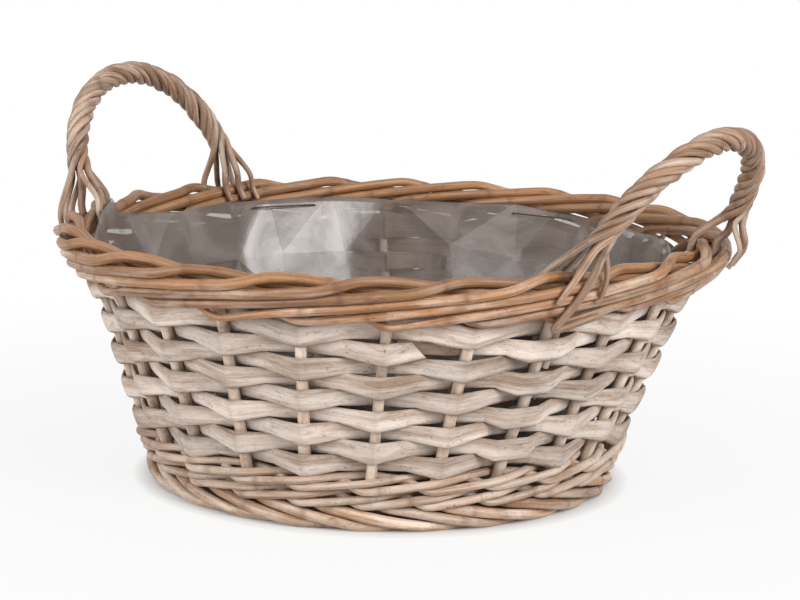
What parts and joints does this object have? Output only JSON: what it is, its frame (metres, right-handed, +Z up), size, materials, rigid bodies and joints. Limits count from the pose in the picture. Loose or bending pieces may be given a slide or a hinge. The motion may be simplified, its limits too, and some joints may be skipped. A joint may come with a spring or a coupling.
{
  "type": "planter basket",
  "caption": "Round wicker planter basket with flared split-willow sides, a rolled rim and foot, roped side handles and a clear film liner.",
  "frame": {"origin": "on the floor, at the middle of the round foot, on the axis of the basket's wall", "axes": "+Z up out of the basket, +X through the middles of the two handles"},
  "size_m": [0.3254, 0.2928, 0.175],
  "materials": {
    "stake_willow": "round peeled willow rod, tan brown, satin",
    "split_willow": "split willow, whitewashed grey beige, matt",
    "wale_willow": "thin willow rod, grey brown, satin",
    "handle_willow": "thin willow rod, brown, satin",
    "base_willow": "willow sticks and splits, matt",
    "liner_film": "clear creased polyethylene film",
    "stitch_thread": "dark sewing thread"
  },
  "bodies": {
    "root": {"stake_01": "stake_willow", "stake_02": "stake_willow", "stake_03": "stake_willow", "stake_04": "stake_willow", "stake_05": "stake_willow", "stake_06": "stake_willow", "stake_07": "stake_willow", "stake_08": "stake_willow", "stake_09": "stake_willow", "stake_10": "stake_willow", "stake_11": "stake_willow", "stake_12": "stake_willow", "stake_13": "stake_willow", "stake_14": "stake_willow", "stake_15": "stake_willow", "stake_16": "stake_willow", "stake_17": "stake_willow", "stake_18": "stake_willow", "stake_19": "stake_willow", "stake_20": "stake_willow", "stake_21": "stake_willow", "stake_22": "stake_willow", "stake_23": "stake_willow", "stake_24": "stake_willow", "side_split_1": "split_willow", "side_split_2": "split_willow", "side_split_3": "split_willow", "side_split_4": "split_willow", "side_split_5": "split_willow", "side_split_6": "split_willow", "side_split_7": "split_willow", "side_split_8": "split_willow", "side_split_9": "split_willow", "wale_rod_1": "wale_willow", "wale_rod_2": "wale_willow", "wale_rod_3": "wale_willow", "handle_right_core": "handle_willow", "handle_right_strand_1": "handle_willow", "handle_right_strand_2": "handle_willow", "handle_right_strand_3": "handle_willow", "handle_right_strand_4": "handle_willow", "handle_right_strand_5": "handle_willow", "handle_right_strand_6": "handle_willow", "handle_left_core": "handle_willow", "handle_left_strand_1": "handle_willow", "handle_left_strand_2": "handle_willow", "handle_left_strand_3": "handle_willow", "handle_left_strand_4": "handle_willow", "handle_left_strand_5": "handle_willow", "handle_left_strand_6": "handle_willow", "base_stick_1": "base_willow", "base_stick_2": "base_willow", "base_stick_3": "base_willow", "base_stick_4": "base_willow", "base_stick_5": "base_willow", "base_stick_6": "base_willow", "base_weaver_1": "base_willow", "base_weaver_2": "base_willow", "liner": "liner_film", "liner_stitch": "stitch_thread"}
  },
  "joints": []
}
